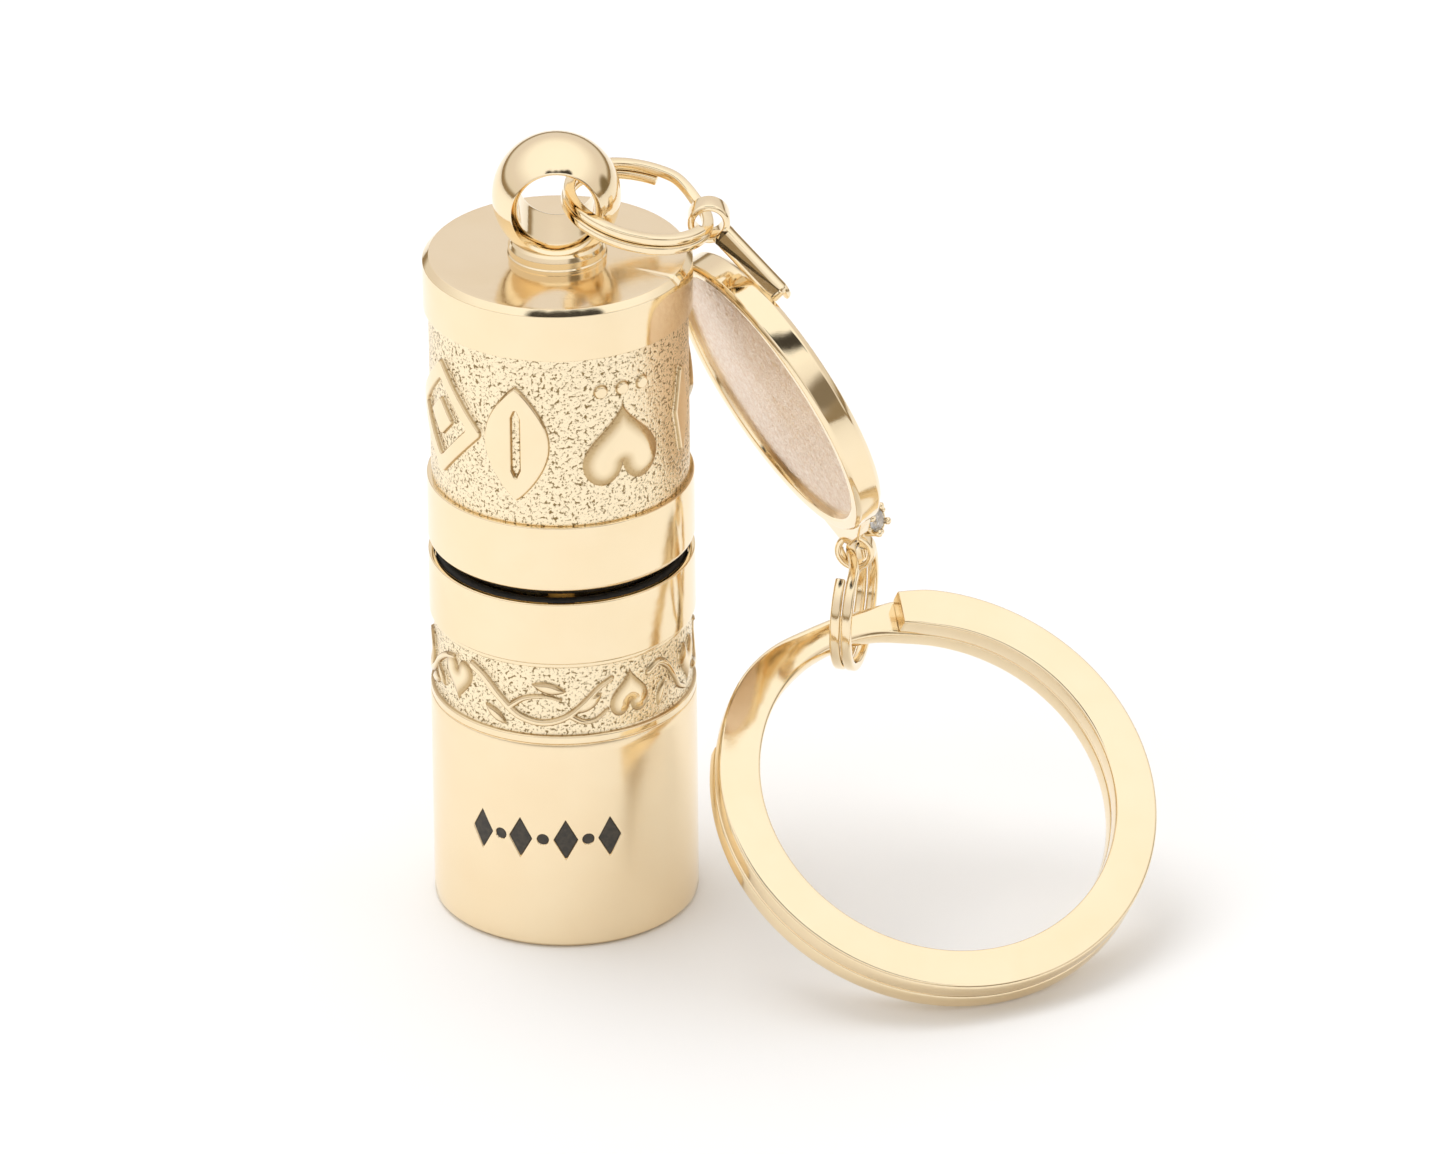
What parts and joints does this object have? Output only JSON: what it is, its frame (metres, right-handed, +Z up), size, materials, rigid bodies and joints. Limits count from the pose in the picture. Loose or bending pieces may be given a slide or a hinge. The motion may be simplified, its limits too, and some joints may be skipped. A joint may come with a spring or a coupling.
{
  "type": "cryptex key fob",
  "caption": "Cylindrical cryptex vault with two relief dials, a ball eyelet, a round medallion charm and a flat split key ring.",
  "frame": {"origin": "centre of the vault's flat base", "axes": "+Z up along the vault's axis, -Y towards the front, +X towards the medallion and key ring"},
  "size_m": [0.049, 0.0313, 0.0567],
  "materials": {
    "polished_gold": "polished gold plate",
    "engraved_gold": "gold plate, polished relief over a pebbled ground",
    "sandblasted_gold": "sandblasted rose gold face with polished rim",
    "satin_brass": "turned satin brass",
    "steel": "bright steel",
    "black_rubber": "matte black nitrile",
    "crystal": "clear faceted crystal"
  },
  "bodies": {
    "base": {"base_cup": "polished_gold", "slotted_barrel": "satin_brass", "mid_collar": "polished_gold", "seal_o_ring": "black_rubber", "base_screw": "steel", "upper_peg": "steel", "lower_detent_ball": "steel", "lower_detent_spring": "steel"},
    "vine_dial": {"vine_dial": "engraved_gold", "vine_gate_ring": "satin_brass"},
    "upper": {"top_cap": "polished_gold", "upper_barrel": "satin_brass", "upper_collar": "polished_gold", "vault_stem": "satin_brass", "lower_peg": "steel", "ball_eyelet": "polished_gold", "eyelet_nut": "satin_brass", "upper_detent_ball": "steel", "upper_detent_spring": "steel"},
    "heart_dial": {"heart_dial": "engraved_gold", "heart_gate_ring": "satin_brass"},
    "small_ring": {"eyelet_ring": "polished_gold"},
    "medallion": {"medallion_disc": "sandblasted_gold", "bail_strap": "polished_gold", "bail_rivet": "polished_gold", "stone_setting": "polished_gold", "stone": "crystal"},
    "link": {"link_ring": "polished_gold"},
    "key_ring": {"key_ring": "polished_gold"}
  },
  "joints": [
    {"name": "vault_slide", "type": "slide", "parent": "base", "child": "upper", "axis": [0, 0, 1], "range_m": [0, 0.045]},
    {"name": "vine_dial_turn", "type": "hinge", "parent": "base", "child": "vine_dial", "pos_m": [0, 0, 0.0187], "axis": [0, 0, 1], "continuous": true},
    {"name": "heart_dial_turn", "type": "hinge", "parent": "upper", "child": "heart_dial", "pos_m": [0, 0, 0.0382], "axis": [0, 0, 1], "continuous": true},
    {"name": "small_ring_swing", "type": "hinge", "parent": "upper", "child": "small_ring", "pos_m": [0, 0, 0.05235], "axis": [0, 1, 0], "range_deg": [-150, 0]},
    {"name": "medallion_swing", "type": "hinge", "parent": "small_ring", "child": "medallion", "pos_m": [0.01013, 0, 0.05041], "axis": [0, 1, 0], "range_deg": [-100, 0]},
    {"name": "link_swing", "type": "hinge", "parent": "medallion", "child": "link", "pos_m": [0.01983, 0.00313, 0.02389], "axis": [0.2312, 0.9729, 0], "range_deg": [-80, 8]},
    {"name": "key_ring_swing", "type": "hinge", "parent": "link", "child": "key_ring", "pos_m": [0.01918, 0.00314, 0.01809], "axis": [-0.8768, -0.4782, -0.0507], "range_deg": [-25, 15]}
  ]
}
